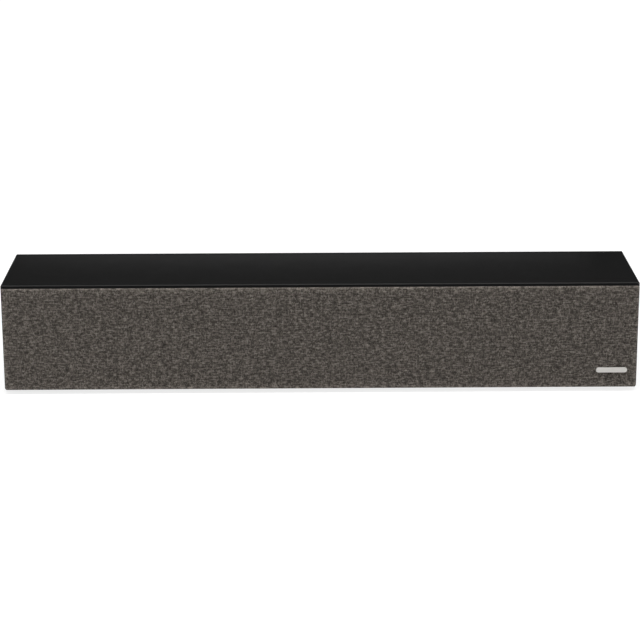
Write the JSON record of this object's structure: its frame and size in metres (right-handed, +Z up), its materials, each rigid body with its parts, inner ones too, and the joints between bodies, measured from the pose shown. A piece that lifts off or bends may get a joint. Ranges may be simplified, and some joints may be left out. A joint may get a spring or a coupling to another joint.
{
  "type": "center channel speaker",
  "caption": "Low, wide center channel loudspeaker in black vinyl with a full-width grey cloth grille held by magnets, and slot ports, hangers and binding posts at the back.",
  "frame": {"origin": "under the middle of the whole object, on the plane that the feet stand on", "axes": "+X along the cabinet to the right as the listener sees it, +Y from the grille to the back, +Z up"},
  "size_m": [0.612, 0.131, 0.1065],
  "materials": {
    "vinyl": "satin",
    "baffle": "black foil",
    "fibreboard": "raw",
    "foot_rubber": "matte",
    "wadding": "matte",
    "frame_plastic": "matte",
    "cloth": "matte",
    "magnet": "plated",
    "satin_bar": "satin",
    "basket_steel": "satin",
    "roll_rubber": "matte",
    "cone": "satin",
    "dust_cap": "satin",
    "copper": "enamelled",
    "spider_cloth": "matte",
    "ferrite": "matte",
    "motor_steel": "zinc",
    "driver_plastic": "satin",
    "silk": "satin",
    "plated_steel": "zinc",
    "gilt_brass": "gilt",
    "red_plastic": "gloss",
    "black_plastic": "gloss",
    "board_green": "satin",
    "capacitor_film": "gloss"
  },
  "bodies": {
    "cabinet": {"cabinet_wrap": "vinyl", "front_baffle": "baffle", "rear_panel": "baffle", "dividers": "fibreboard", "feet": "foot_rubber", "damping_pads": "wadding", "baffle_magnets": "magnet", "woofer_baskets": "basket_steel", "woofer_surrounds": "roll_rubber", "woofer_spiders": "spider_cloth", "woofer_magnets": "ferrite", "woofer_yokes": "motor_steel", "tweeter_faceplate": "driver_plastic", "tweeter_dome": "silk", "tweeter_motor": "motor_steel", "slot_ports": "driver_plastic", "keyhole_plates": "plated_steel", "terminal_cup": "driver_plastic", "binding_posts": "gilt_brass", "post_nuts": "gilt_brass", "crossover_board": "board_green", "crossover_inductors": "copper", "crossover_capacitors": "capacitor_film"},
    "grille": {"grille_frame": "frame_plastic", "grille_cloth": "cloth", "grille_magnets": "magnet", "badge_bar": "satin_bar"},
    "woofer_diaphragms": {"woofer_cones": "cone", "woofer_dust_caps": "dust_cap", "woofer_voice_coils": "copper"},
    "positive_clamp": {"positive_washer": "gilt_brass"},
    "positive_cap": {"positive_knob": "red_plastic"},
    "negative_clamp": {"negative_washer": "gilt_brass"},
    "negative_cap": {"negative_knob": "black_plastic"}
  },
  "joints": [
    {"name": "grille_pull", "type": "slide", "parent": "cabinet", "child": "grille", "axis": [0, -1, 0], "range_m": [0, 0.06]},
    {"name": "woofer_stroke", "type": "slide", "parent": "cabinet", "child": "woofer_diaphragms", "axis": [0, -1, 0], "range_m": [-0.0025, 0.0025], "stiffness_N_per_m": 1200, "deforming": ["woofer_surrounds", "woofer_spiders"]},
    {"name": "positive_clamp_slide", "type": "slide", "parent": "cabinet", "child": "positive_clamp", "axis": [0, 1, 0], "range_m": [0, 0.005]},
    {"name": "positive_knob_turn", "type": "hinge", "parent": "positive_clamp", "child": "positive_cap", "pos_m": [0.00953, 0.053, 0.0545], "axis": [0, 1, 0], "range_deg": [0, 1800]},
    {"name": "negative_clamp_slide", "type": "slide", "parent": "cabinet", "child": "negative_clamp", "axis": [0, 1, 0], "range_m": [0, 0.005]},
    {"name": "negative_knob_turn", "type": "hinge", "parent": "negative_clamp", "child": "negative_cap", "pos_m": [-0.00953, 0.053, 0.0545], "axis": [0, 1, 0], "range_deg": [0, 1800]}
  ],
  "couplings": [
    {"joint": "positive_knob_turn", "follows": "positive_clamp_slide", "rad_per_m": 6283.2},
    {"joint": "negative_knob_turn", "follows": "negative_clamp_slide", "rad_per_m": 6283.2}
  ]
}
